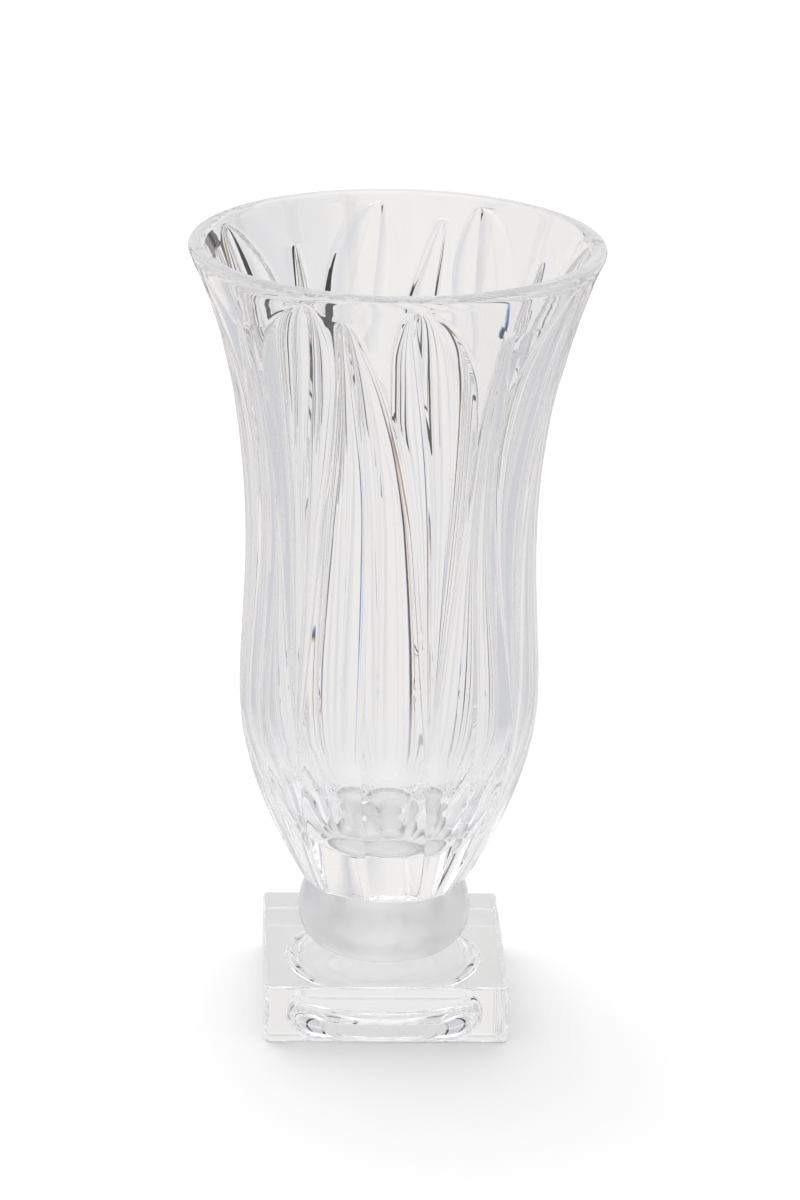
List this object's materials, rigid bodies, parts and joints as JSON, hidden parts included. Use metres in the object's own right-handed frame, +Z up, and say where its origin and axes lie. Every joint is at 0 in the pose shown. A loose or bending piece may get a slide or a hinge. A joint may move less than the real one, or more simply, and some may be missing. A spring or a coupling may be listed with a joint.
{
  "type": "footed vase",
  "caption": "Flared crystal vase with spear and leaf cuts round a thick-walled bowl, on a round satin collar and a square plinth.",
  "frame": {"origin": "middle of the plinth's underside", "axes": "+Z up along the vase's axis, X and Y parallel to the plinth's sides"},
  "size_m": [0.1558, 0.1558, 0.305],
  "materials": {
    "crystal": "clear lead crystal, cut and acid-polished",
    "crystal_collar": "lead crystal, its bulging side satin, its flats polished",
    "crystal_plinth": "clear lead crystal, ground and polished flat",
    "optical_adhesive": "clear cured film"
  },
  "bodies": {
    "root": {"cut_bowl": "crystal", "collar": "crystal_collar", "square_plinth": "crystal_plinth", "bowl_bond_film": "optical_adhesive", "plinth_bond_film": "optical_adhesive"}
  },
  "joints": []
}
